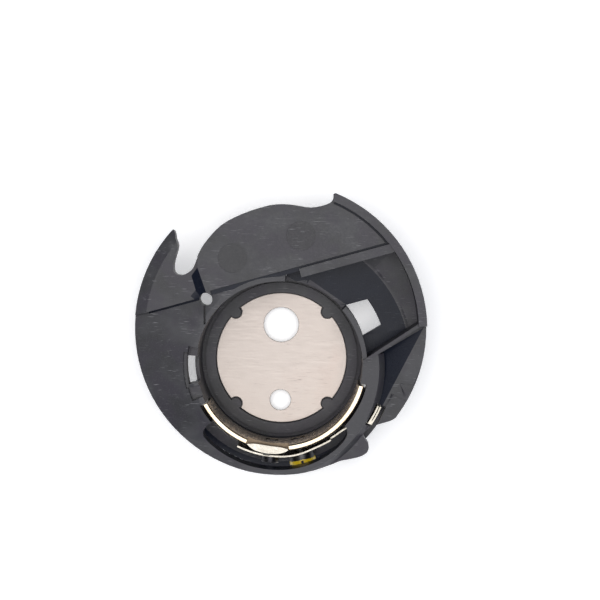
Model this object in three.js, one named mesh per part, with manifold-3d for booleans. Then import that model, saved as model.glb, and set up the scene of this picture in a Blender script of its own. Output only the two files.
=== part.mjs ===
// Drop-in bobbin case of a sewing machine, in millimetres, +Z up.
// The origin is on the axis of the bobbin cup, at the underside of the cup floor.
// +Z points out of the open mouth of the cup, and -Y points to the front of the
// machine, where the tension spring and its two screws sit.

import * as THREE from "three";
import { mergeVertices } from "three/addons/utils/BufferGeometryUtils.js";
import Module from "manifold-3d";

const wasm = await Module();
wasm.setup();

// ---------------------------------------------------------------- dimensions

const RAD = Math.PI / 180;
const SEGMENTS = 96; // facets in a full turn of the large rounds

// bobbin cup, a class-15 bobbin of 20.5 mm turns in it
const BORE_R = 12.6;
const CUP_R = 13.3;
const CUP_RIM_Z = 12.5;
const FLOOR_Z = 1.1; // bottom of the seat plate's recess
const FLOOR_RING = { inner: 10.4, outer: 11.95, top: 1.9, groove: 1.2 };
const LOBE = { pitch: 10.25, radius: 0.85 };

// flange that rides in the hook race
const RACE = { x: 0.09, y: 5.35, r: 22.16 };
const RACE_Z = 9; // underside of the flange
const HORN_ANGLE = 137.3;
const TIP_ANGLE = 67.8;
const HEEL_ANGLE = 294.5;
const LUG_ANGLE = 323.8;
const DECK_Z = 12.8;
const HORN_Z = 11.7;
const CONE_SLOPE = 0.22; // fall of the flange per mm out from the cup
const STEP = { x: -12.2, y: 10, angle: 15.3 }; // straight step across the flange
const HORN_SLOPE = { from: 20.4, edgeZ: 10.85 }; // the horn falls away towards its outer edge
const RIM_WALL = { inner: 20.9, top: 13.9, from: 1.5 };
const RIB = { start: 3.2, width: 1.35, onDeck: 0.35, top: 13.6 };
const GROOVE = { width: 0.34, onDeck: 0.7, depth: 0.4 }; // relief at the foot of each upstand

// sunk pocket at the right, with its window
const POCKET = { floor: 7.5, skin: 1.2, flatR: 20, bendR: 20.5, bendZ: 7.75, edgeR: 26, edgeZ: 8.6 };
const CUP_CUT = { from: 41, to: 86 }; // here the wall of the cup ends at the pocket's floor
const WINDOW = { inner: 13.35, outer: 16.5 };
const RIDGE = { x: 12.6, y: 0.4, angle: 33.4, width: 0.5, top: 12.9 };

// front: thread plate, slot above the tension spring, shelf below it
const PLATE_GAP = { inner: 12.2, outer: 13.6, from: 207.6, to: 347, bottom: 4.4 };
const OPENING = { from: 223, to: 338.5, outer: 17.6 }; // front opening under the flange
const SLOT = [ // outer edge of the slot over the spring, at an angle
  { angle: 220.6, r: 13.2 },
  { angle: 220.4, r: 14.4 },
  { angle: 222, r: 15.6 },
  { angle: 227, r: 16.05 },
  { angle: 245, r: 16.08 },
  { angle: 265, r: 16.05 },
  { angle: 284, r: 15.95 },
  { angle: 304, r: 15.45 },
  { angle: 313, r: 14.95 },
  { angle: 316.6, r: 14 },
  { angle: 316.4, r: 13.2 },
];
const SHELF = { inner: 12.9, outer: 16.1, bottom: 2.6, top: 4.1, from: 217, to: 318 };
const SHELF_LIP = { outer: 17, top: 3.7, from: 213 }; // lower step outside the shelf
const SHELF_END = { outer: 18.2, to: 341 }; // the shelf below the free end of the spring
const BAND = { x: -1.5, y: -0.6, r: 16.6, slope: 0.9 }; // raised band from the front to the ridge
const QUARTER_Z = 11.3; // top of the flange outside the band

// seat plate
const SEAT = { r: 10.25, bottom: 1.1, top: 1.6, notchR: 1.05 };
const CENTRE_HOLE = { x: -0.05, y: 5.25, r: 2.75 };
const SMALL_HOLE = { x: -0.2, y: -6.7, r: 1.65 };

// thread plate
const THREAD = { inner: 12.35, outer: 13.35, bottom: 4.5, top: 12, from: 208.6, to: 345 };
const THREAD_NOTCH = { from: 247, to: 276.5, z: 10 };

// tension spring and its screws
const SPRING = { thick: 0.25, bottom: 4.6, top: 10.6 };
const LEAF = [ // distance of the leaf from the cup's axis, at an angle
  { angle: 243, r: 14.15 },
  { angle: 262, r: 14.15 },
  { angle: 278, r: 14.18 },
  { angle: 292, r: 13.92 },
  { angle: 304, r: 13.98 },
  { angle: 314, r: 14.2 },
  { angle: 320, r: 15 },
];
const LEAF_STEP = 303.5; // the leaf is lower from here to its free end
const TONGUE = { from: 247.8, to: 275.6, inner: 12.75, outer: 13.8, bottom: 10.75, top: 11.15 };
const LIP = { r: 16.25, from: 326, to: 336.6, bottom: 5.6, top: 10.3, depth: 0.65 };
const SCREW_Z = 6.6;
const SET_SCREW = { angle: 264, shank: 0.8, head: 1.35, headFrom: 14.48, headTo: 15.8 };
const ADJUST_SCREW = { angle: 282.5, shank: 0.9, head: 2.05, headFrom: 14.54, headTo: 16.1 };
const SCREW_CLEARANCE = 0.25;

// ------------------------------------------------------------------- helpers

const point = (x, y) => new THREE.Vector2(x, y);

const polar = (r, degrees, centre = { x: 0, y: 0 }) =>
  point(centre.x + r * Math.cos(degrees * RAD), centre.y + r * Math.sin(degrees * RAD));

function arc(r, from, to, centre) {
  const count = Math.max(2, Math.ceil((Math.abs(to - from) / 360) * SEGMENTS));
  return Array.from({ length: count + 1 }, (_, i) =>
    polar(r, from + ((to - from) * i) / count, centre));
}

const smooth = (points, steps) =>
  new THREE.SplineCurve(points.map(([x, y]) => point(x, y))).getPoints(steps);

// a smooth run round the cup's axis through distances given at angles
const smoothPolar = (stations, steps) =>
  smooth(stations.map(({ angle, r }) => [angle, r]), steps).map(({ x, y }) => polar(y, x));

function toSolid(geometry) {
  const bare = geometry.clone();
  bare.deleteAttribute("normal");
  bare.deleteAttribute("uv");
  const merged = mergeVertices(bare, 1e-4);
  const index = merged.index.array;
  const triangles = [];
  for (let i = 0; i < index.length; i += 3) {
    const [a, b, c] = [index[i], index[i + 1], index[i + 2]];
    if (a !== b && b !== c && c !== a) triangles.push(a, b, c);
  }
  return new wasm.Manifold(new wasm.Mesh({
    numProp: 3,
    vertProperties: new Float32Array(merged.attributes.position.array),
    triVerts: new Uint32Array(triangles),
  }));
}

function toGeometry(solid) {
  const { vertProperties, triVerts } = solid.getMesh();
  const geometry = new THREE.BufferGeometry();
  geometry.setAttribute("position", new THREE.BufferAttribute(vertProperties, 3));
  geometry.setIndex(new THREE.BufferAttribute(triVerts, 1));
  geometry.computeVertexNormals();
  return geometry;
}

function extrude(outline, bottom, top) {
  const geometry = new THREE.ExtrudeGeometry(new THREE.Shape(outline), {
    depth: top - bottom,
    bevelEnabled: false,
  });
  return toSolid(geometry.translate(0, 0, bottom));
}

// profile: [radius, z] pairs, anticlockwise; one that doesn't start on the axis is closed
function turn(profile, centre = { x: 0, y: 0 }) {
  const closed = profile[0][0] > 0 ? [...profile, profile[0]] : profile;
  const points = closed.map(([r, z]) => point(r, z));
  const geometry = new THREE.LatheGeometry(points, SEGMENTS);
  geometry.rotateX(Math.PI / 2);
  return toSolid(geometry.translate(centre.x, centre.y, 0));
}

const sector = (inner, outer, from, to, bottom, top, centre) =>
  extrude([...arc(outer, from, to, centre), ...arc(inner, to, from, centre)], bottom, top);

function disc(x, y, r, bottom, top, sides = 40) {
  const geometry = new THREE.CylinderGeometry(r, r, top - bottom, sides);
  geometry.rotateX(Math.PI / 2);
  return toSolid(geometry.translate(x, y, (bottom + top) / 2));
}

// a cylinder lying on a radius of the cup, between two distances from its axis
function radialCylinder(r, from, to, degrees, z, sides = 24) {
  const geometry = new THREE.CylinderGeometry(r, r, to - from, sides);
  geometry.rotateZ(-Math.PI / 2);
  geometry.translate((from + to) / 2, 0, z);
  return toSolid(geometry.rotateZ(degrees * RAD));
}

function radialBox(depth, width, height, distance, degrees, z) {
  const geometry = new THREE.BoxGeometry(depth, width, height);
  geometry.translate(distance, 0, z);
  return toSolid(geometry.rotateZ(degrees * RAD));
}

// everything above the plane through three points
function above(a, b, c) {
  const size = 60;
  const corners = [a, b, c].map((p) => new THREE.Vector3(...p));
  const plane = new THREE.Plane().setFromCoplanarPoints(...corners);
  if (plane.normal.z < 0) plane.negate();
  const geometry = new THREE.BoxGeometry(size, size, size);
  geometry.translate(0, 0, size / 2);
  const turnUp = new THREE.Quaternion().setFromUnitVectors(
    new THREE.Vector3(0, 0, 1), plane.normal);
  geometry.applyQuaternion(turnUp);
  return toSolid(geometry.translate(...corners[0].toArray()));
}

function makeMesh(name, solid, colour, roughness, metalness) {
  const material = new THREE.MeshStandardMaterial({ color: colour, roughness, metalness });
  const mesh = new THREE.Mesh(toGeometry(solid), material);
  mesh.name = name;
  return mesh;
}

// ------------------------------------------------------------ flange outlines

const stepY = (x) => STEP.y + (x - STEP.x) * Math.tan(STEP.angle * RAD);

// upper edge of the flange, from the raised tip to the thread guide notch
const crown = () => smooth([
  [8.15, 25.7], [8.05, 24.8], [7.1, 24.15], [4.8, 23.7], [2.1, 24.1], [0.2, 24.2],
  [-1.8, 23.95], [-5.4, 22.8], [-8.7, 21.05], [-11.2, 18.35], [-12.2, 16.6],
], 30);

// the notch between the flange and the horn
const hornNotch = () => smooth([
  [-12.75, 15.2], [-13.3, 14.25], [-14.7, 13.45], [-15.9, 13.85],
  [-16, 15.3], [-15.42, 17.4], [-15.4, 18.2], [-15.68, 19], [-15.8, 19.8], [-16, 20.25],
], 26);

// the stop nub and its notch at the lower right
const stopNub = () => smooth([
  [10.4, -14.6], [12.3, -14.15], [13.4, -13.4], [13.55, -12.3], [12.95, -11.35],
  [12.8, -10.6], [13.8, -9.65], [15.4, -9.1], [16.9, -8.65], [17.7, -8.15],
], 24);

function flangeOutline() {
  return [
    ...crown(),
    ...hornNotch(),
    ...arc(RACE.r, HORN_ANGLE, HEEL_ANGLE, RACE),
    ...stopNub(),
    ...arc(RACE.r, LUG_ANGLE, 360 + TIP_ANGLE, RACE),
  ];
}

// ----------------------------------------------------------------- sub-parts

function cupSolid() {
  const chamfer = 0.4;
  return turn([
    [0, 0],
    [CUP_R - 2 * chamfer, 0],
    [CUP_R - chamfer, chamfer],
    [CUP_R, RACE_Z],
    [CUP_R, CUP_RIM_Z],
    [BORE_R, CUP_RIM_Z],
    [BORE_R, FLOOR_RING.groove],
    [FLOOR_RING.outer, FLOOR_RING.groove],
    [FLOOR_RING.outer, FLOOR_RING.top],
    [FLOOR_RING.inner, FLOOR_RING.top],
    [FLOOR_RING.inner, FLOOR_Z],
    [0, FLOOR_Z],
  ]);
}

function lobes() {
  return [45, 135, 225, 315].map((angle) => {
    const centre = polar(LOBE.pitch, angle);
    return disc(centre.x, centre.y, LOBE.radius, FLOOR_Z - 0.1, FLOOR_RING.top, 20);
  });
}

// the flange that falls away as a cone from the rim of the cup
function coneFlange(outline) {
  const reach = 30;
  const cone = turn([
    [CUP_R - 0.5, RACE_Z],
    [reach, RACE_Z],
    [reach, CUP_RIM_Z - CONE_SLOPE * (reach - CUP_R)],
    [CUP_R, CUP_RIM_Z],
    [CUP_R - 0.5, CUP_RIM_Z],
  ]);
  return outline(RACE_Z, DECK_Z).intersect(cone);
}

function pocketOutline() {
  const far = 32;
  const ridgeEnd = polar(far, RIDGE.angle, RIDGE);
  return [
    point(RIDGE.x, RIDGE.y),
    ridgeEnd,
    point(far, stepY(far)),
    polar(CUP_R + 0.6, CUP_CUT.to),
    ...arc(BORE_R + 0.3, CUP_CUT.to, 5),
  ];
}

// floor of the pocket: flat round the cup, then rising to the rim
function pocketTray(outline) {
  const { floor, skin, flatR, bendR, bendZ, edgeR, edgeZ } = POCKET;
  const tray = turn([
    [0, floor - skin],
    [edgeR, floor - skin],
    [edgeR, edgeZ],
    [bendR, bendZ],
    [flatR, floor],
    [0, floor],
  ]);
  return tray.intersect(outline(0, RACE_Z + 1));
}

const deckOutline = () => [
  point(-10.8, stepY(-10.8)),
  point(30, stepY(30)),
  point(30, 40),
  point(-12.3, 40),
  point(-12.3, 14.7),
];

const hornOutline = () => [
  point(-40, stepY(-40)),
  point(-10.5, stepY(-10.5)),
  point(-10.5, 40),
  point(-40, 40),
];

// the horn's plateau, which slopes down to the race all along its outer edge
function horn(outline) {
  const reach = RACE.r + 1;
  const fall = (HORN_Z - HORN_SLOPE.edgeZ) / (RACE.r - HORN_SLOPE.from);
  const plateau = turn([
    [0, RACE_Z],
    [reach, RACE_Z],
    [reach, HORN_Z - fall * (reach - HORN_SLOPE.from)],
    [HORN_SLOPE.from, HORN_Z],
    [0, HORN_Z],
  ], RACE);
  return outline(RACE_Z, HORN_Z).intersect(extrude(hornOutline(), 0, 20)).intersect(plateau);
}

// polished slope that lifts the thread onto the deck
function threadRamp() {
  const foot = [[-13.3, 13.4], [-12.3, 10.05]];
  const head = [[-10.7, 10.5], [-12.2, 14.8]];
  const block = extrude([...foot, ...head].map(([x, y]) => point(x, y)), RACE_Z, DECK_Z);
  return block.subtract(above([...foot[0], HORN_Z], [...foot[1], HORN_Z], [...head[0], DECK_Z]));
}

function rimWall() {
  return sector(RIM_WALL.inner, RACE.r, RIM_WALL.from, TIP_ANGLE, RACE_Z, RIM_WALL.top, RACE);
}

// a straight bar standing on the line that leaves a start point at an angle
function bar(start, angle, length, width, bottom, top) {
  const geometry = new THREE.BoxGeometry(length, width, top - bottom);
  geometry.translate(length / 2, 0, 0);
  geometry.rotateZ(angle * RAD);
  return toSolid(geometry.translate(start.x, start.y, (bottom + top) / 2));
}

function bars(outline) {
  const foot = POCKET.floor - POCKET.skin;
  const ribStart = { x: RIB.start, y: stepY(RIB.start) + RIB.onDeck - RIB.width / 2 };
  const rib = bar(ribStart, STEP.angle, 20, RIB.width, foot, RIB.top);
  const ridge = bar(RIDGE, RIDGE.angle, 14, RIDGE.width, foot, RIDGE.top);
  const inside = disc(RACE.x, RACE.y, RIM_WALL.inner + 0.3, 0, RIM_WALL.top + 1, SEGMENTS);
  const keep = outline(0, RIM_WALL.top + 1).intersect(inside);
  const clearOfBore = disc(0, 0, BORE_R, FLOOR_RING.groove, RIM_WALL.top + 2, SEGMENTS);
  return rib.add(ridge).intersect(keep).subtract(clearOfBore);
}

// narrow grooves along the front edge of the deck, the rim wall and the step
function footGrooves() {
  const { width, onDeck, depth } = GROOVE;
  const bottom = DECK_Z - depth;
  const { inner, top } = RIM_WALL;
  const deckStart = { x: -10.3, y: stepY(-10.3) + onDeck / 2 };
  const edge = bar(deckStart, STEP.angle, 32, onDeck, bottom, top);
  const rim = sector(inner - width, inner + 0.05, 25, TIP_ANGLE - 1, bottom, top, RACE);
  const deck = edge.add(rim).intersect(disc(RACE.x, RACE.y, inner, 0, top, SEGMENTS));

  // along the horn's step the groove follows the cone, and it stops at the thread hole
  const from = { x: -19.9, y: stepY(-19.9) - width / 2 };
  const onCone = (x, y) => CUP_RIM_Z - CONE_SLOPE * (Math.hypot(x, y) - CUP_R) - depth;
  const foot = [from.x, from.y, onCone(from.x, from.y)];
  const head = [-12, stepY(-12), onCone(-12, stepY(-12))];
  const across = [from.x - width, from.y + width / Math.tan(STEP.angle * RAD), foot[2]];
  const step = bar(from, STEP.angle, 8.8, width, RACE_Z, CUP_RIM_Z);
  return deck.add(step.intersect(above(foot, head, across)));
}

// everything on the cup's side from one angle to another
const sweep = (from, to) => extrude([...arc(BORE_R + 0.3, to, from), polar(32, from),
  polar(60, (from + to) / 2), polar(32, to)], 0, 20);

// right quarter: a sunk glossy facet, with two shallow creases in the rim beside it
function rightQuarter(outline) {
  const deep = 9.9;
  const low = [14.5, 1.2];
  const high = [[21.8, 5.5], [15.1, -7.4]];
  const corners = [low, [14.4, -6.6], high[1], high[0]].map(([x, y]) => point(x, y));
  const facet = extrude(corners, 8, 16).intersect(
    above([...low, deep], [...high[0], QUARTER_Z], [...high[1], QUARTER_Z]));
  const ends = [polar(32, -76), point(32, -20), polar(32, RIDGE.angle, RIDGE)];
  const region = extrude([
    point(RIDGE.x - 1, RIDGE.y),
    ...arc(BORE_R + 0.3, 0, -76),
    ...ends,
    point(RIDGE.x, RIDGE.y),
  ], 0, 20);
  const depth = 0.12;
  const creases = bar({ x: 18.3, y: -2.95 }, -3, 2.1, depth, QUARTER_Z - depth, 20).add(
    bar({ x: 17, y: -4.5 }, -27, 2.25, depth, QUARTER_Z - depth, 20));
  const base = outline(RACE_Z, QUARTER_Z).intersect(region).subtract(facet).subtract(creases);
  return { base, region };
}

// raised band: the front rim of the flange and the flat strip up to the ridge,
// with a sloping side, running down into the cone at the left
function raisedBand(outline, pocket) {
  const { r, slope } = BAND;
  const strip = turn([
    [0, RACE_Z],
    [r + slope, RACE_Z],
    [r + slope, QUARTER_Z - 0.1],
    [r, CUP_RIM_Z],
    [0, CUP_RIM_Z],
  ], BAND);
  const runDown = above([-5, -16, CUP_RIM_Z], [-5, -10, CUP_RIM_Z], [-16, -11, 11.25]);
  return strip.intersect(outline(RACE_Z, CUP_RIM_Z)).intersect(sweep(-146, 6)).subtract(runDown)
    .subtract(pocket);
}

// slot over the spring: a smooth outer edge, and the gap of the thread plate inside
function slotCut() {
  const edge = smoothPolar(SLOT, 63);
  const inside = arc(PLATE_GAP.inner + 0.5, SLOT.at(-1).angle, SLOT[0].angle);
  return extrude([...edge, ...inside], SHELF.top, 20);
}

function undersideRelief() {
  const inset = 0.925;
  const edge = crown().slice(4).map((p) =>
    point(RACE.x + (p.x - RACE.x) * inset, RACE.y + (p.y - RACE.y) * inset));
  const outline = [
    ...edge,
    point(-10.2, stepY(-10.2) + 1.6),
    ...arc(CUP_R + 0.9, 112, 80),
    point(RIB.start + 1, stepY(RIB.start + 1) + 0.9),
    point(18, stepY(18) + 0.9),
  ];
  const inside = disc(RACE.x, RACE.y, RIM_WALL.inner - 0.4, 0, 20, SEGMENTS);
  return extrude(outline, RACE_Z - 1, DECK_Z - 1.6).intersect(inside);
}

function caseBody() {
  const shape = flangeOutline();
  const outline = (bottom, top) => extrude(shape, bottom, top);
  const pocket = extrude(pocketOutline(), 0, 20);
  const quarter = rightQuarter(outline);

  let body = coneFlange(outline).subtract(pocket).subtract(quarter.region);
  body = body.add(horn(outline));
  body = body.add(outline(RACE_Z, DECK_Z).intersect(extrude(deckOutline(), 0, 20)));
  body = body.subtract(undersideRelief());
  body = body.subtract(footGrooves());
  body = body.add(threadRamp());
  body = body.add(quarter.base);
  body = body.add(pocketTray(outline).intersect(pocket));
  body = body.add(rimWall());
  body = body.add(raisedBand(outline, pocket));
  body = body.add(bars(outline));

  const cup = cupSolid();
  body = body.subtract(disc(0, 0, BORE_R, FLOOR_RING.groove, 20, SEGMENTS)).add(cup);
  lobes().forEach((lobe) => {
    body = body.add(lobe);
  });
  body = body.subtract(
    sector(BORE_R - 0.4, CUP_R + 0.15, CUP_CUT.from, CUP_CUT.to, POCKET.floor, 20));

  // front opening for the thread plate, the slot above the spring and the shelf
  const wall = PLATE_GAP;
  body = body.subtract(sector(wall.inner, wall.outer, wall.from, wall.to, wall.bottom, 20));
  body = body.subtract(slotCut());
  body = body.subtract(
    sector(wall.inner, OPENING.outer, OPENING.from, OPENING.to, SHELF.top, RACE_Z));
  const shelf = SHELF;
  body = body.add(sector(shelf.inner, shelf.outer, shelf.from, shelf.to, shelf.bottom, shelf.top));
  const lip = SHELF_LIP;
  body = body.add(sector(shelf.inner, lip.outer, lip.from, shelf.to, shelf.bottom, lip.top));
  const end = SHELF_END;
  body = body.add(sector(shelf.inner, end.outer, shelf.to - 1, end.to, shelf.bottom, shelf.top));
  // opening over the free end of the spring
  body = body.subtract(sector(LIP.r - 0.4, LIP.r + 1.2, LIP.from - 1, LIP.to + 1.4, 5, 20));

  // left: notch in the cup wall with the slot outside it
  body = body.subtract(sector(BORE_R - 0.4, 14.1, 175, 192.5, 7, 20));
  body = body.subtract(sector(14, 14.6, 172.5, 195, 11.6, 20));
  body = body.subtract(sector(BORE_R - 0.4, 14, 168.5, 176, 10.6, 20));
  body = body.subtract(sector(BORE_R - 0.4, 14.3, 194.5, 203, 11.4, 20));

  // window, thread hole with the groove below it, ejector marks
  const { inner, outer } = WINDOW;
  body = body.subtract(extrude([...arc(outer, 20.1, 35.7), ...arc(inner, 40.8, 17.6)], 2, 20));
  body = body.subtract(disc(-11.1, 9.85, 1, 0, 20, 28));
  body = body.subtract(extrude(
    [point(-11.4, 6.1), point(-11.1, 6.1), point(-11.1, 9.5), point(-11.4, 9.5)], 11.3, 20));
  body = body.subtract(disc(-7, 16.1, 2.2, DECK_Z - 0.15, 20));
  body = body.subtract(disc(3.3, 19.45, 2.2, DECK_Z - 0.15, 20));

  // holes in the floor under the two holes of the seat plate
  [CENTRE_HOLE, SMALL_HOLE].forEach(({ x, y, r }) => {
    body = body.subtract(disc(x, y, r + 0.2, -1, 3));
  });
  return makeMesh("case_body", body, 0x55565a, 0.55, 0);
}

function seatPlate() {
  let plate = disc(0, 0, SEAT.r, SEAT.bottom, SEAT.top, SEGMENTS);
  [45, 135, 225, 315].forEach((angle) => {
    const centre = polar(LOBE.pitch, angle);
    plate = plate.subtract(disc(centre.x, centre.y, SEAT.notchR, 0, 3, 24));
  });
  [CENTRE_HOLE, SMALL_HOLE].forEach(({ x, y, r }) => {
    plate = plate.subtract(disc(x, y, r, 0, 3));
  });
  return makeMesh("seat_plate", plate, 0xd7cbc4, 0.35, 0.9);
}

// the plate's section turned round the cup, with its upper edges rounded
function threadPlate() {
  const { inner, outer, bottom, top, from, to } = THREAD;
  const round = 0.32;
  const corner = (r, start) => [0, 30, 60, 90].map((degrees) =>
    polar(round, start + degrees, { x: r, y: top - round }).toArray());
  let plate = turn([
    [inner, bottom],
    [outer, bottom],
    ...corner(outer - round, 0),
    ...corner(inner + round, 90),
  ]);
  plate = plate.intersect(sector(inner - 1, outer + 1, from, to, 0, 20));
  const notch = THREAD_NOTCH;
  plate = plate.subtract(sector(inner - 1, outer + 1, notch.from, notch.to, notch.z, 20));
  [SET_SCREW, ADJUST_SCREW].forEach(({ angle, shank }) => {
    const hole = radialCylinder(shank + SCREW_CLEARANCE, 11, 15, angle, SCREW_Z);
    plate = plate.subtract(hole);
  });
  return makeMesh("thread_plate", plate, 0xe8ddc8, 0.15, 1);
}

// the leaf seen from above: round the cup, then out to the free end
function leafOutline() {
  const run = smoothPolar([...LEAF, { angle: LIP.from, r: LIP.r }], 42).slice(0, -1);
  const line = [...run, ...arc(LIP.r, LIP.from, LIP.to)];
  const outside = line.map((p) => p.clone().setLength(p.length() + SPRING.thick)).reverse();
  return [...line, ...outside];
}

// tongue of the leaf: an oval pad in the notch of the thread plate, on a narrow neck
function tongue() {
  const { from, to, inner, outer, bottom, top } = TONGUE;
  const middle = (from + to) / 2;
  const quarter = (to - from) / 4;
  const between = (inner + outer) / 2;
  const oval = [
    [from, between], [middle - quarter, inner], [middle + quarter, inner],
    [to, between], [middle + quarter, outer], [middle - quarter, outer], [from, between],
  ].map(([angle, r]) => ({ angle, r }));
  const pad = extrude(smoothPolar(oval, 36).slice(0, -1), bottom, top);
  const neck = sector(inner + 0.6, LEAF[1].r + 0.1, middle - 2, middle + 2, bottom - 0.4, bottom + 0.1);
  return pad.add(neck);
}

function tensionSpring() {
  const { bottom, top, thick } = SPRING;
  let leaf = extrude(leafOutline(), bottom, LIP.top).add(extrude(leafOutline(), bottom, top));
  leaf = leaf.subtract(sector(12, 18, LEAF_STEP, LIP.from - 0.3, RACE_Z - 0.4, 20));
  leaf = leaf.subtract(sector(14.8, 18, 320, 345, 0, LIP.bottom));

  // free end: the leaf is folded back on itself as a hem
  const { r, from, to, depth } = LIP;
  const hem = sector(r + depth - thick, r + depth, from, to, LIP.bottom, LIP.top).add(
    sector(r, r + depth, from, from + 2, LIP.bottom, LIP.top));
  let spring = leaf.add(hem).add(tongue());
  [SET_SCREW, ADJUST_SCREW].forEach(({ angle, shank }) => {
    const hole = radialCylinder(shank + SCREW_CLEARANCE, 11, 15, angle, SCREW_Z);
    spring = spring.subtract(hole);
  });
  return makeMesh("tension_spring", spring, 0xe6e0d2, 0.2, 1);
}

function screw({ angle, shank, head, headFrom, headTo }) {
  const shaft = radialCylinder(shank, THREAD.inner + 0.05, headFrom + 0.1, angle, SCREW_Z);
  return shaft.add(radialCylinder(head, headFrom, headTo, angle, SCREW_Z, 48));
}

function springSetScrew() {
  const { angle, headTo } = SET_SCREW;
  let solid = screw(SET_SCREW);
  [[0.35, 1.6], [1.6, 0.35]].forEach(([width, height]) => {
    solid = solid.subtract(radialBox(0.9, width, height, headTo, angle, SCREW_Z));
  });
  return makeMesh("spring_set_screw", solid, 0x2b2b2e, 0.35, 0.9);
}

function tensionAdjustingScrew() {
  const { angle, head, headTo } = ADJUST_SCREW;
  const slot = radialBox(1, 0.45, 2 * head + 1, headTo, angle, SCREW_Z);
  return makeMesh(
    "tension_adjusting_screw", screw(ADJUST_SCREW).subtract(slot), 0xd8c23a, 0.4, 0.7);
}

// ------------------------------------------------------------------ assembly

const bobbinCase = new THREE.Group();
bobbinCase.add(
  caseBody(),
  seatPlate(),
  threadPlate(),
  tensionSpring(),
  springSetScrew(),
  tensionAdjustingScrew(),
);

export default bobbinCase;
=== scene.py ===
"""Drop-in bobbin case of a sewing machine: the looks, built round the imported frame.

All places and sizes are in metres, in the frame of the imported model: the origin is on
the axis of the bobbin cup at the underside of its floor, and +Z leaves the cup's mouth.
"""

import math

import bmesh
import bpy
from bpy.props import FloatProperty, FloatVectorProperty, PointerProperty
from mathutils import Matrix, Vector


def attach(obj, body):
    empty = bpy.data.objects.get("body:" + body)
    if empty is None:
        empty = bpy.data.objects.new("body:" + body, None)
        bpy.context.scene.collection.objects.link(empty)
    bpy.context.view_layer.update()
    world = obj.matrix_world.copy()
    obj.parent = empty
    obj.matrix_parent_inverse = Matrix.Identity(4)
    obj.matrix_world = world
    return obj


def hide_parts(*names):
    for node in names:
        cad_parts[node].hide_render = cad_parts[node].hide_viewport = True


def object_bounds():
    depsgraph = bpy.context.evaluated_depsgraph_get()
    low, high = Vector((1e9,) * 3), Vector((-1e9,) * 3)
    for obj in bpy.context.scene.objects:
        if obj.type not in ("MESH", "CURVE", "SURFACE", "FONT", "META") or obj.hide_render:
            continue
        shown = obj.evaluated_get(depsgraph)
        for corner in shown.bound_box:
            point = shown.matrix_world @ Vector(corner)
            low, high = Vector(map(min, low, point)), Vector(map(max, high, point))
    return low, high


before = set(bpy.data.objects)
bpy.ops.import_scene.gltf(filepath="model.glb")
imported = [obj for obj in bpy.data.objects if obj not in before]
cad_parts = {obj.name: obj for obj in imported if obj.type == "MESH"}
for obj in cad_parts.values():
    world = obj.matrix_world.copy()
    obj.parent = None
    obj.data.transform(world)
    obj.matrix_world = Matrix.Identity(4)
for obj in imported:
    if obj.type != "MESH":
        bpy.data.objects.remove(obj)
CAD_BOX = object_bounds()

bl_info = {
    "name": "Bobbin case",
    "version": (1, 0, 0),
    "blender": (4, 5, 0),
    "location": "3D View > Sidebar > Bobbin case",
    "description": "Builds the finished pieces of a drop-in bobbin case",
    "category": "Object",
}

MM = 0.001

# heights above the cup's base and places from its axis, in millimetres
POCKET_FLOOR = 7.5
POCKET_UNDERSIDE = 6.3
QUARTER_TOP = 11.3  # the flange outside the raised front band
PIERCED_LEVELS = (POCKET_FLOOR, POCKET_UNDERSIDE, QUARTER_TOP)
BAND_PALER_STARTS = (12.30, 12.42)  # none and full, just below the rim of the cup
BAND_PALER_ENDS = (12.62, 12.55)  # none and full, just above it
EJECTOR_HEIGHT = 12.65
DECK_GROOVE = (12.35, 12.45)  # round the floor of the grooves in the deck
SHELF_TOPS = (3.3, 4.3)  # round the two levels of the shelf under the spring
NOTCH_TOP = 10.5  # faces of the thread plate below this are the cut of its notch, painted darker as shade
STEP_POINT = (-12.2, 10.0)  # on the straight step across the flange
STEP_ANGLE = 15.3  # degrees
EJECTOR_PINS = ((-7.0, 16.1), (3.3, 19.45))  # middles of the marks on the deck
EJECTOR_RADIUS = 2.3
PAINT_STARTS = (15.50, 15.62)  # none and full, along the tension screw's axis
SCREW_AXIS = (0.21644, -0.976296, 0.0)  # unit vector, outwards
SEAT_SHADING = (-7.0, 8.0)  # paler to darker across the seat plate

# directions of finishes: noise per metre along X, Y and Z, so low is along the lines
SCUFF_LINES = (500.0, 9000.0, 2000.0)
SCUFF_TURN = 0.26  # radians about Z
SEAT_BRUSHING = (420.0, 16000.0, 4000.0)
UPRIGHT_POLISH = (3000.0, 3000.0, 400.0)

# camera, in millimetres from the cup's axis
AIM_HEIGHT = 13.5
TARGET = (3.17, 9.85)  # at the aim's height
EYE = (8.2, 23.6, 231)  # the last is above the aim's height
LENS = 92.6


# ------------------------------------------------------------------ settings


class BobbinCasePlastic(bpy.types.PropertyGroup):
    """Finish of the moulded body."""

    colour: FloatVectorProperty(
        name="Plastic colour",
        description="Base colour of the moulded plastic",
        subtype="COLOR",
        size=3,
        min=0.0,
        max=1.0,
        default=(0.033, 0.033, 0.037),
    )
    # painted shade and painted reflection: this near-black blue stands for the shade in the slot,
    # pocket, shelf and grooves and the dark reflection on the ramp and facet
    polished_painted_shade_colour: FloatVectorProperty(
        name="Polished plastic colour",
        description="Base colour where the mould is polished for the thread",
        subtype="COLOR",
        size=3,
        min=0.0,
        max=1.0,
        default=(0.0048, 0.0068, 0.0140),
    )
    edge_round: FloatProperty(
        name="Edge rounding",
        description="Radius left by the mould on the outer edges",
        subtype="DISTANCE",
        unit="LENGTH",
        min=0.0,
        default=0.11 * MM,
    )
    roughness: FloatProperty(
        name="Roughness",
        description="Mean roughness of the plastic",
        subtype="FACTOR",
        min=0.0,
        max=1.0,
        default=0.45,
    )


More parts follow.
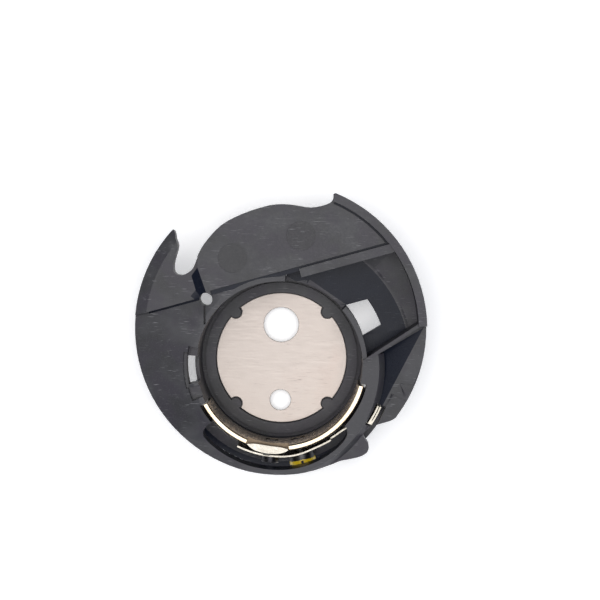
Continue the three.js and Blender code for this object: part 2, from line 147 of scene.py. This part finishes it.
class BobbinCaseMetal(bpy.types.PropertyGroup):
    """Finish of the steel pieces."""

    seat_colour: FloatVectorProperty(
        name="Seat plate colour",
        description="Base colour of the brushed seat plate",
        subtype="COLOR",
        size=3,
        min=0.0,
        max=1.0,
        default=(0.67, 0.60, 0.55),
    )
    thread_colour: FloatVectorProperty(
        name="Thread plate colour",
        description="Base colour of the polished thread plate",
        subtype="COLOR",
        size=3,
        min=0.0,
        max=1.0,
        default=(0.46, 0.37, 0.26),
    )
    edge_round: FloatProperty(
        name="Edge rounding",
        description="Radius on the stamped edges of the steel",
        subtype="DISTANCE",
        unit="LENGTH",
        min=0.0,
        default=0.07 * MM,
    )
    paint_colour: FloatVectorProperty(
        name="Locking paint colour",
        description="Colour of the paint on the tension screw",
        subtype="COLOR",
        size=3,
        min=0.0,
        max=1.0,
        default=(0.80, 0.56, 0.01),
    )


# ------------------------------------------------------------- shader helpers


def new_material(name):
    """A node material and its Principled shader."""
    material = bpy.data.materials.new(name)
    material.use_nodes = True
    return material, material.node_tree.nodes["Principled BSDF"]


def shade(colour, factor):
    """A colour made darker or paler."""
    return tuple(c * factor for c in colour)


def wire(tree, source, target):
    tree.links.new(source, target)


def new_group(name, inputs, outputs):
    """A shader node group; inputs are (name, type, default), outputs (name, type)."""
    group = bpy.data.node_groups.new(name, "ShaderNodeTree")
    for label, kind, default in inputs:
        socket = group.interface.new_socket(label, in_out="INPUT", socket_type=kind)
        socket.default_value = default
    for label, kind in outputs:
        group.interface.new_socket(label, in_out="OUTPUT", socket_type=kind)
    entry = group.nodes.new("NodeGroupInput")
    leave = group.nodes.new("NodeGroupOutput")
    return group, entry, leave


def object_coordinates(tree, scale=(1, 1, 1)):
    """Object coordinates through a Mapping node, for a pattern fixed to a piece."""
    coordinates = tree.nodes.new("ShaderNodeTexCoord")
    mapping = tree.nodes.new("ShaderNodeMapping")
    mapping.inputs["Scale"].default_value = scale
    wire(tree, coordinates.outputs["Object"], mapping.inputs["Vector"])
    return mapping.outputs["Vector"]


def ramp(tree, source, low, high, out_low=0.0, out_high=1.0):
    """source taken from low..high to out_low..out_high, and held at the ends."""
    node = tree.nodes.new("ShaderNodeMapRange")
    node.inputs["From Min"].default_value = low
    node.inputs["From Max"].default_value = high
    node.inputs["To Min"].default_value = out_low
    node.inputs["To Max"].default_value = out_high
    wire(tree, source, node.inputs["Value"])
    return node.outputs["Result"]


def noise(tree, vector, scale, detail=2.0, roughness=0.5):
    """A noise pattern of about scale patches per metre."""
    node = tree.nodes.new("ShaderNodeTexNoise")
    node.inputs["Scale"].default_value = scale
    node.inputs["Detail"].default_value = detail
    node.inputs["Roughness"].default_value = roughness
    wire(tree, vector, node.inputs["Vector"])
    return node.outputs["Fac"]


def mix_colour(tree, factor, low, high):
    """Mix of two colours or colour sockets by a factor socket."""
    node = tree.nodes.new("ShaderNodeMix")
    node.data_type = "RGBA"
    wire(tree, factor, node.inputs[0])
    for value, socket in ((low, node.inputs[6]), (high, node.inputs[7])):
        if isinstance(value, bpy.types.NodeSocket):
            wire(tree, value, socket)
        else:
            socket.default_value = (*value, 1.0)
    return node.outputs[2]


def math_node(tree, operation, first, second):
    """A Math node on two numbers or sockets."""
    node = tree.nodes.new("ShaderNodeMath")
    node.operation = operation
    for value, socket in ((first, node.inputs[0]), (second, node.inputs[1])):
        if isinstance(value, bpy.types.NodeSocket):
            wire(tree, value, socket)
        else:
            socket.default_value = value
    return node.outputs["Value"]


def scuff_group():
    """Fine grain, long hairline scuffs and specks of dust, shared by every finish."""
    name = "wear_and_grain"
    if name in bpy.data.node_groups:
        return bpy.data.node_groups[name]
    group, entry, leave = new_group(
        name,
        [
            ("Vector", "NodeSocketVector", (0.0, 0.0, 0.0)),
            ("Grain Scale", "NodeSocketFloat", 9000.0),
            ("Scuff Amount", "NodeSocketFloat", 0.5),
            ("Dust Amount", "NodeSocketFloat", 0.5),
        ],
        [
            ("Grain", "NodeSocketFloat"),
            ("Scuffs", "NodeSocketFloat"),
            ("Dust", "NodeSocketFloat"),
        ],
    )
    vector = entry.outputs["Vector"]

    grain = group.nodes.new("ShaderNodeTexNoise")
    grain.inputs["Detail"].default_value = 3.0
    wire(group, vector, grain.inputs["Vector"])
    wire(group, entry.outputs["Grain Scale"], grain.inputs["Scale"])
    wire(group, grain.outputs["Fac"], leave.inputs["Grain"])

    # scuffs: thin lines from stretched noise, broken up by a broad patch mask
    turned = group.nodes.new("ShaderNodeMapping")
    turned.inputs["Rotation"].default_value = (0.0, 0.0, SCUFF_TURN)
    turned.inputs["Scale"].default_value = SCUFF_LINES
    wire(group, vector, turned.inputs["Vector"])
    lines = noise(group, turned.outputs["Vector"], 1.0, 2.0)
    patches = noise(group, vector, 420.0, 1.0)
    line_mask = ramp(group, lines, 0.63, 0.72)
    patch_mask = ramp(group, patches, 0.46, 0.6)
    scuffs = math_node(group, "MULTIPLY", line_mask, patch_mask)
    scuffs = math_node(group, "MULTIPLY", scuffs, entry.outputs["Scuff Amount"])
    wire(group, scuffs, leave.inputs["Scuffs"])

    # dust: small pale specks, more of them in some places than in others
    specks = group.nodes.new("ShaderNodeTexVoronoi")
    specks.inputs["Scale"].default_value = 1500.0
    wire(group, vector, specks.inputs["Vector"])
    speck_mask = ramp(group, specks.outputs["Distance"], 0.10, 0.05)
    where = ramp(group, noise(group, vector, 230.0, 3.0), 0.52, 0.66)
    dust = math_node(group, "MULTIPLY", speck_mask, where)
    dust = math_node(group, "MULTIPLY", dust, entry.outputs["Dust Amount"])
    wire(group, dust, leave.inputs["Dust"])
    return group


def wear(tree, vector, grain_scale, scuffs, dust):
    """The shared wear group placed in a material with its own values."""
    node = tree.nodes.new("ShaderNodeGroup")
    node.node_tree = scuff_group()
    node.inputs["Grain Scale"].default_value = grain_scale
    node.inputs["Scuff Amount"].default_value = scuffs
    node.inputs["Dust Amount"].default_value = dust
    wire(tree, vector, node.inputs["Vector"])
    return node.outputs


def rough_by(tree, pattern, smoothest, roughest, shader):
    """Roughness that follows a noise pattern."""
    wire(tree, ramp(tree, pattern, 0.3, 0.7, smoothest, roughest), shader.inputs["Roughness"])


def bump(tree, height, distance, strength, shader):
    """Relief from a height pattern, distance in metres."""
    node = tree.nodes.new("ShaderNodeBump")
    node.inputs["Strength"].default_value = strength
    node.inputs["Distance"].default_value = distance
    wire(tree, height, node.inputs["Height"])
    wire(tree, node.outputs["Normal"], shader.inputs["Normal"])


# ------------------------------------------------------------------ materials


def along(tree, direction):
    """How far a point lies along a direction, in metres from the origin."""
    coordinates = tree.nodes.new("ShaderNodeTexCoord")
    node = tree.nodes.new("ShaderNodeVectorMath")
    node.operation = "DOT_PRODUCT"
    node.inputs[1].default_value = direction
    wire(tree, coordinates.outputs["Object"], node.inputs[0])
    return node.outputs["Value"]


def spot(tree, x, y, z, radius, softness):
    """Mask of a round spot, in millimetres, soft at its edge."""
    coordinates = tree.nodes.new("ShaderNodeTexCoord")
    node = tree.nodes.new("ShaderNodeVectorMath")
    node.operation = "DISTANCE"
    node.inputs[1].default_value = (x * MM, y * MM, z * MM)
    wire(tree, coordinates.outputs["Object"], node.inputs[0])
    return ramp(tree, node.outputs["Value"], radius * MM, (radius - softness) * MM)


def moulded_plastic(settings):
    """Charcoal moulded plastic: satin, finely grained, a little scuffed and dusty."""
    material, shader = new_material("moulded_charcoal_plastic")
    tree = material.node_tree
    vector = object_coordinates(tree)
    marks = wear(tree, vector, 5200.0, 0.8, 0.35)
    flow = noise(tree, vector, 150.0, 4.0, 0.6)
    tint = noise(tree, vector, 260.0, 2.0, 0.5)
    base = tuple(settings.colour)
    paler = shade(base, 1.55)
    darker = shade(base, 0.78)
    violet = (base[0] * 0.96, base[1] * 0.84, base[2] * 1.06)
    # cloudy from the flow of the melt, tinted in patches, and paler on the grain
    colour = mix_colour(tree, ramp(tree, flow, 0.38, 0.66), darker, paler)
    colour = mix_colour(tree, ramp(tree, tint, 0.45, 0.6, 0.0, 0.75), colour, violet)
    colour = mix_colour(tree, ramp(tree, marks["Grain"], 0.5, 0.7, 0.0, 0.7), colour, paler)

    # paler on a band of heights at the rim of the cup and the front band, and darker
    # where the ejector pins pressed the deck
    height = along(tree, (0.0, 0.0, 1.0))
    on_band = math_node(
        tree,
        "MULTIPLY",
        ramp(tree, height, *(z * MM for z in BAND_PALER_STARTS)),
        ramp(tree, height, *(z * MM for z in BAND_PALER_ENDS)),
    )
    band_paler = shade(base, 1.45)
    colour = mix_colour(tree, math_node(tree, "MULTIPLY", on_band, 0.8), colour, band_paler)
    deep = shade(base, 0.66)
    for x, y in EJECTOR_PINS:
        pressed = spot(tree, x, y, EJECTOR_HEIGHT, EJECTOR_RADIUS, softness=0.35)
        pressed = math_node(tree, "MULTIPLY", pressed, 0.6)
        colour = mix_colour(tree, pressed, colour, deep)
    colour = mix_colour(tree, marks["Scuffs"], colour, (0.24, 0.24, 0.25))
    colour = mix_colour(tree, marks["Dust"], colour, (0.20, 0.20, 0.20))
    wire(tree, colour, shader.inputs["Base Color"])
    smoothest, roughest = settings.roughness - 0.06, settings.roughness + 0.08
    rough = ramp(tree, marks["Grain"], 0.3, 0.7, smoothest, roughest)
    rubbed = math_node(tree, "MULTIPLY", marks["Scuffs"], 0.2)
    wire(tree, math_node(tree, "ADD", rough, rubbed), shader.inputs["Roughness"])
    scored = math_node(tree, "MULTIPLY", marks["Scuffs"], -0.6)
    bump(tree, math_node(tree, "ADD", marks["Grain"], scored), 0.00002, 0.25, shader)
    shader.inputs["Specular IOR Level"].default_value = 0.36
    return material


def polished_painted_shade_plastic(settings):
    """The same plastic where the mould is polished: glossier, and painted darker and bluer as
    shade and as a dark reflection.
    """
    material, shader = new_material("polished_charcoal_painted_shade")
    tree = material.node_tree
    vector = object_coordinates(tree)
    marks = wear(tree, vector, 9000.0, 0.35, 0.5)
    # painted shade and painted dark reflection: much darker and bluer than the plastic itself
    base = tuple(settings.polished_painted_shade_colour)
    paler = shade(base, 1.6)
    colour = mix_colour(tree, noise(tree, vector, 500.0, 3.0), base, paler)
    colour = mix_colour(tree, marks["Scuffs"], colour, (0.10, 0.12, 0.14))
    colour = mix_colour(tree, marks["Dust"], colour, (0.14, 0.15, 0.16))
    wire(tree, colour, shader.inputs["Base Color"])
    rough_by(tree, marks["Grain"], 0.24, 0.36, shader)
    bump(tree, marks["Grain"], 0.00001, 0.15, shader)
    shader.inputs["Specular IOR Level"].default_value = 0.12
    return material


def brushed_seat(settings):
    """Warm grey steel brushed along X, with faint stains and hairlines."""
    material, shader = new_material("brushed_seat_steel")
    tree = material.node_tree
    vector = object_coordinates(tree)
    stretched = object_coordinates(tree, SEAT_BRUSHING)
    brush = noise(tree, stretched, 1.0, 3.0, 0.6)
    marks = wear(tree, vector, 9000.0, 0.7, 0.2)
    stain = noise(tree, vector, 190.0, 3.0, 0.55)
    base = tuple(settings.seat_colour)
    darker = shade(base, 0.82)
    colour = mix_colour(tree, ramp(tree, brush, 0.3, 0.7), darker, base)
    colour = mix_colour(tree, ramp(tree, stain, 0.55, 0.75, 0.0, 0.25), colour, (0.55, 0.43, 0.38))
    colour = mix_colour(tree, marks["Scuffs"], colour, (0.30, 0.26, 0.24))
    # a little darker towards the back left
    start, end = (place * MM for place in SEAT_SHADING)
    back_left_darker = ramp(tree, along(tree, (-0.707, 0.707, 0.0)), start, end, 0.0, 0.95)
    colour = mix_colour(tree, back_left_darker, colour, darker)
    wire(tree, colour, shader.inputs["Base Color"])
    shader.inputs["Metallic"].default_value = 0.7
    rough_by(tree, brush, 0.48, 0.62, shader)
    bump(tree, brush, 0.00001, 0.25, shader)
    return material


def polished_steel(name, colour, tint, rough):
    """Polished steel with a faint upright run of the polishing."""
    material, shader = new_material(name)
    tree = material.node_tree
    vector = object_coordinates(tree)
    stretched = object_coordinates(tree, UPRIGHT_POLISH)
    brush = noise(tree, stretched, 1.0, 2.0)
    marks = wear(tree, vector, 9000.0, 0.5, 0.15)
    base = mix_colour(tree, ramp(tree, noise(tree, vector, 300.0, 3.0), 0.4, 0.7), colour, tint)
    base = mix_colour(tree, marks["Scuffs"], base, shade(colour, 0.5))
    wire(tree, base, shader.inputs["Base Color"])
    shader.inputs["Metallic"].default_value = 1.0
    rough_by(tree, brush, rough, rough + 0.12, shader)
    bump(tree, brush, 0.000005, 0.15, shader)
    return material


def dark_screw_steel():
    """Blackened steel, rubbed paler in patches."""
    material, shader = new_material("blackened_screw_steel")
    tree = material.node_tree
    vector = object_coordinates(tree)
    marks = wear(tree, vector, 8000.0, 0.6, 0.3)
    rub = ramp(tree, noise(tree, vector, 900.0, 3.0), 0.55, 0.75)
    colour = mix_colour(tree, rub, (0.035, 0.035, 0.04), (0.16, 0.15, 0.14))
    colour = mix_colour(tree, marks["Scuffs"], colour, (0.3, 0.3, 0.3))
    wire(tree, colour, shader.inputs["Base Color"])
    shader.inputs["Metallic"].default_value = 1.0
    rough_by(tree, marks["Grain"], 0.28, 0.42, shader)
    bump(tree, marks["Grain"], 0.00001, 0.2, shader)
    return material


def locking_paint(settings):
    """Blackened steel with thick yellow locking paint on the end of its head."""
    material, shader = new_material("yellow_locking_paint")
    tree = material.node_tree
    vector = object_coordinates(tree)
    marks = wear(tree, vector, 6000.0, 0.4, 0.2)
    uneven = ramp(tree, noise(tree, vector, 900.0, 3.0), 0.3, 0.7, -0.00008, 0.00008)
    outwards = math_node(tree, "ADD", along(tree, SCREW_AXIS), uneven)
    painted = ramp(tree, outwards, *(place * MM for place in PAINT_STARTS))
    chips = ramp(tree, noise(tree, vector, 1400.0, 3.0, 0.5), 0.66, 0.70)
    painted = math_node(tree, "MULTIPLY", painted, math_node(tree, "SUBTRACT", 1.0, chips))
    paint = tuple(settings.paint_colour)
    yellow = mix_colour(tree, noise(tree, vector, 500.0), shade(paint, 0.7), paint)
    steel = mix_colour(tree, marks["Scuffs"], (0.05, 0.05, 0.05), (0.4, 0.38, 0.34))
    wire(tree, mix_colour(tree, painted, steel, yellow), shader.inputs["Base Color"])
    wire(tree, math_node(tree, "SUBTRACT", 1.0, painted), shader.inputs["Metallic"])
    rough_by(tree, marks["Grain"], 0.25, 0.4, shader)
    bump(tree, painted, 0.00003, 0.4, shader)
    return material


# --------------------------------------------------------------- mesh helpers


def finish_mesh(mesh_builder, name, body, materials, replaces=()):
    """Writes a bmesh to a new piece, smooth by angle, that rides on a CAD body."""
    bmesh.ops.remove_doubles(mesh_builder, verts=mesh_builder.verts, dist=1e-7)
    bmesh.ops.recalc_face_normals(mesh_builder, faces=mesh_builder.faces)
    mesh = bpy.data.meshes.new(name)
    mesh_builder.to_mesh(mesh)
    mesh_builder.free()
    mesh.shade_smooth()
    mesh.set_sharp_from_angle(angle=math.radians(35))
    for material in materials:
        mesh.materials.append(material)
    piece = bpy.data.objects.new(name, mesh)
    bpy.context.scene.collection.objects.link(piece)
    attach(piece, body)
    if replaces:
        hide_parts(*replaces)
    return piece


def on_pierced_level(place):
    """Whether a vertex is on a flat level with holes in it: the floor of the pocket,
    its underside, and the right quarter of the flange with its creases."""
    return any(abs(place.z - z * MM) < 5e-6 for z in PIERCED_LEVELS)


def merged_copy(node):
    """A bmesh of a CAD node with shared vertices and flat areas joined."""
    builder = bmesh.new()
    builder.from_mesh(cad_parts[node].data)
    bmesh.ops.remove_doubles(builder, verts=builder.verts, dist=2e-6)
    bmesh.ops.dissolve_degenerate(builder, edges=builder.edges, dist=1e-6)
    # flat faces with holes in them keep their triangles
    joined = [v for v in builder.verts if not on_pierced_level(v.co)]
    bmesh.ops.dissolve_limit(
        builder,
        angle_limit=math.radians(0.6),
        verts=joined,
        edges=[e for e in builder.edges if not all(on_pierced_level(v.co) for v in e.verts)],
    )
    return builder


def in_groove(face):
    """Whether a face is in a groove at the foot of the rib, the rim wall or the step."""
    x, y, z = (c / MM for c in face.calc_center_median())
    on_deck = DECK_GROOVE[0] < z < DECK_GROOVE[1] and face.normal.z > 0.995
    step_x, step_y = STEP_POINT
    from_step = y - (step_y + (x - step_x) * math.tan(math.radians(STEP_ANGLE)))
    on_cone = -20.5 < x < -11.9 and -0.4 < from_step < 0.05 and z > 9.5
    return on_deck or on_cone


def mark_polished_painted_shade_faces(builder):
    """Second material, glossy with painted shade and reflection, on the thread ramp, the sunk
    facet, the walls of the front slot, the floor of the pocket, the shelf and the grooves.
    Places are in millimetres and degrees."""
    for face in builder.faces:
        x, y, z = (c / MM for c in face.calc_center_median())
        radius = math.hypot(x, y)
        angle = math.degrees(math.atan2(y, x)) % 360
        sloping = 0.5 < face.normal.z < 0.996
        on_ramp = sloping and -13.4 < x < -10.5 and 10 < y < 15 and z > 11.6
        on_facet = sloping and x > 13.5 and -6.5 < y < 6.5 and 9.8 < z < QUARTER_TOP
        in_slot = abs(face.normal.z) < 0.5 and 218 < angle < 318 and 11 < radius < 16.5
        in_pocket = face.normal.z > 0.99 and abs(z - POCKET_FLOOR) < 0.02 and radius > 13
        on_shelf = face.normal.z > 0.9 and SHELF_TOPS[0] < z < SHELF_TOPS[1] and radius > 13
        # painted shade in the slot, pocket, shelf and grooves, and painted dark reflection on the
        # ramp and facet
        if on_ramp or on_facet or in_slot or in_pocket or on_shelf or in_groove(face):
            face.material_index = 1


def add_bevel(piece, width, segments=3, angle=32.0):
    """Rounds the edges sharper than angle, in degrees, and keeps flat faces flat."""
    modifier = piece.modifiers.new("rounded_edges", "BEVEL")
    modifier.width = width
    modifier.segments = segments
    modifier.limit_method = "ANGLE"
    modifier.angle_limit = math.radians(angle)
    modifier.profile = 0.5
    modifier.miter_outer = "MITER_ARC"
    modifier.material = -1
    flatten = piece.modifiers.new("flat_faces_stay_flat", "WEIGHTED_NORMAL")
    flatten.mode = "FACE_AREA"
    flatten.keep_sharp = True


# ------------------------------------------------------------------ operators


class BOBBIN_OT_body(bpy.types.Operator):
    """Moulded body: cup, race flange, horn, pocket, rib and stop nub"""

    bl_idname = "bobbin.body"
    bl_label = "Moulded body"

    def execute(self, context):
        settings = context.scene.bobbin_plastic
        builder = merged_copy("case_body")
        mark_polished_painted_shade_faces(builder)
        piece = finish_mesh(
            builder,
            "moulded_body",
            "case",
            [moulded_plastic(settings), polished_painted_shade_plastic(settings)],
            ["case_body"],
        )
        add_bevel(piece, settings.edge_round)
        return {"FINISHED"}


class BOBBIN_OT_seat(bpy.types.Operator):
    """Brushed steel seat plate in the floor of the cup"""

    bl_idname = "bobbin.seat"
    bl_label = "Seat plate"

    def execute(self, context):
        settings = context.scene.bobbin_metal
        piece = finish_mesh(
            merged_copy("seat_plate"),
            "brushed_seat_plate",
            "case",
            [brushed_seat(settings)],
            ["seat_plate"],
        )
        add_bevel(piece, settings.edge_round * 1.4)
        return {"FINISHED"}


class BOBBIN_OT_thread_plate(bpy.types.Operator):
    """Polished thread plate with its rounded upper edge"""

    bl_idname = "bobbin.thread_plate"
    bl_label = "Thread plate"

    def execute(self, context):
        settings = context.scene.bobbin_metal
        material = polished_steel(
            "polished_thread_steel",
            tuple(settings.thread_colour),
            (0.60, 0.52, 0.40),
            0.16,
        )
        # painted shade for the floor of the notch: a dark tan steel
        notch_shade = polished_steel(
            "thread_steel_painted_notch_shade",
            (0.13, 0.10, 0.07),
            (0.18, 0.14, 0.10),
            0.4,
        )
        builder = merged_copy("thread_plate")
        # painted shade: upward faces in the notch get the darker, rougher tan
        for face in builder.faces:
            if face.normal.z > 0.99 and face.calc_center_median().z < NOTCH_TOP * MM:
                face.material_index = 1
        piece = finish_mesh(
            builder,
            "polished_thread_plate",
            "case",
            [material, notch_shade],
            ["thread_plate"],
        )
        add_bevel(piece, settings.edge_round)
        return {"FINISHED"}


class BOBBIN_OT_spring(bpy.types.Operator):
    """Leaf tension spring with its tongue and free lip"""

    bl_idname = "bobbin.spring"
    bl_label = "Tension spring"

    def execute(self, context):
        settings = context.scene.bobbin_metal
        material = polished_steel(
            "polished_spring_steel",
            (0.26, 0.245, 0.21),
            (0.36, 0.34, 0.30),
            0.24,
        )
        piece = finish_mesh(
            merged_copy("tension_spring"),
            "tension_spring_leaf",
            "spring",
            [material],
            ["tension_spring"],
        )
        add_bevel(piece, settings.edge_round * 0.8, 2)
        return {"FINISHED"}


class BOBBIN_OT_screws(bpy.types.Operator):
    """Cross-recess set screw and slotted tension adjusting screw"""

    bl_idname = "bobbin.screws"
    bl_label = "Screws"

    def execute(self, context):
        settings = context.scene.bobbin_metal
        pieces = [
            ("spring_set_screw", "set_screw", "case", "dark_screw", dark_screw_steel()),
            (
                "tension_adjusting_screw",
                "adjusting_screw",
                "tension_screw",
                "marked_screw",
                locking_paint(settings),
            ),
        ]
        for node, name, body, slot, material in pieces:
            piece = finish_mesh(merged_copy(node), name, body, [material], [node])
            add_bevel(piece, settings.edge_round, 2)
        return {"FINISHED"}


class BOBBIN_OT_stage(bpy.types.Operator):
    """Pale floor, soft lights and the camera"""

    bl_idname = "bobbin.stage"
    bl_label = "Stage"

    def execute(self, context):
        scene = context.scene

        builder = bmesh.new()
        bmesh.ops.create_grid(builder, x_segments=4, y_segments=4, size=1.5)
        bmesh.ops.translate(builder, verts=builder.verts, vec=(0, 0, CAD_BOX[0].z))
        mesh = bpy.data.meshes.new("floor")
        builder.to_mesh(mesh)
        builder.free()
        material, shader = new_material("pale_floor")
        shader.inputs["Base Color"].default_value = (0.96, 0.96, 0.96, 1.0)
        shader.inputs["Roughness"].default_value = 0.9
        shader.inputs["Specular IOR Level"].default_value = 0.0
        shader.inputs["Emission Color"].default_value = (1.0, 1.0, 1.0, 1.0)
        shader.inputs["Emission Strength"].default_value = 0.32
        mesh.materials.append(material)
        floor = bpy.data.objects.new("floor", mesh)
        scene.collection.objects.link(floor)

        camera_data = bpy.data.cameras.new("camera")
        camera_data.lens = LENS
        camera_data.sensor_width = 36.0
        camera_data.clip_start = 0.01
        camera = bpy.data.objects.new("camera", camera_data)
        scene.collection.objects.link(camera)
        aim_z = AIM_HEIGHT * MM
        eye = Vector((EYE[0] * MM, EYE[1] * MM, aim_z + EYE[2] * MM))
        target = Vector((TARGET[0] * MM, TARGET[1] * MM, aim_z))
        look = (target - eye).normalized()
        right = look.cross(Vector((0, 1, 0))).normalized()
        up = right.cross(look)
        turn = Matrix((right, up, -look)).transposed()
        camera.matrix_world = Matrix.Translation(eye) @ turn.to_4x4()
        scene.camera = camera

        lights = [  # name, place, diameter, radiance, colour
            ("overhead_softbox", (0.0, 0.05, 0.62), 0.50, 4.3, (1.0, 0.98, 0.97)),
            ("left_softbox", (-0.46, 0.10, 0.38), 0.60, 0.85, (1.0, 0.98, 0.95)),
            ("right_softbox", (0.46, -0.08, 0.38), 0.60, 0.75, (0.97, 0.98, 1.0)),
        ]
        for name, place, size, radiance, colour in lights:
            data = bpy.data.lights.new(name, "AREA")
            data.shape = "DISK"
            data.size = size
            data.energy = radiance * math.pi * math.pi * size * size / 4
            data.color = colour
            lamp = bpy.data.objects.new(name, data)
            scene.collection.objects.link(lamp)
            aim = Vector((0, 0.005, 0.01)) - Vector(place)
            turn = aim.to_track_quat("-Z", "Y").to_matrix().to_4x4()
            lamp.matrix_world = Matrix.Translation(place) @ turn

        world = bpy.data.worlds.new("studio")
        scene.world = world
        world.use_nodes = True
        background = world.node_tree.nodes["Background"]
        background.inputs["Color"].default_value = (0.50, 0.58, 0.72, 1.0)
        background.inputs["Strength"].default_value = 0.26
        scene.view_settings.view_transform = "Standard"
        return {"FINISHED"}


class BOBBIN_PT_panel(bpy.types.Panel):
    """Operators and settings of the bobbin case"""

    bl_label = "Bobbin case"
    bl_idname = "BOBBIN_PT_panel"
    bl_space_type = "VIEW_3D"
    bl_region_type = "UI"
    bl_category = "Bobbin case"

    def draw(self, context):
        layout = self.layout
        for operator in OPERATORS:
            layout.operator(operator.bl_idname)
        for group in (context.scene.bobbin_plastic, context.scene.bobbin_metal):
            for key in group.__annotations__:
                layout.prop(group, key)


OPERATORS = (
    BOBBIN_OT_stage,
    BOBBIN_OT_body,
    BOBBIN_OT_seat,
    BOBBIN_OT_thread_plate,
    BOBBIN_OT_spring,
    BOBBIN_OT_screws,
)
CLASSES = (BobbinCasePlastic, BobbinCaseMetal, *OPERATORS, BOBBIN_PT_panel)


def register():
    for cls in CLASSES:
        bpy.utils.register_class(cls)
    bpy.types.Scene.bobbin_plastic = PointerProperty(type=BobbinCasePlastic)
    bpy.types.Scene.bobbin_metal = PointerProperty(type=BobbinCaseMetal)


def unregister():
    del bpy.types.Scene.bobbin_metal
    del bpy.types.Scene.bobbin_plastic
    for cls in reversed(CLASSES):
        bpy.utils.unregister_class(cls)


def main():
    register()
    bpy.ops.bobbin.stage()
    bpy.ops.bobbin.body()
    bpy.ops.bobbin.seat()
    bpy.ops.bobbin.thread_plate()
    bpy.ops.bobbin.spring()
    bpy.ops.bobbin.screws()


if __name__ == "__main__":
    main()
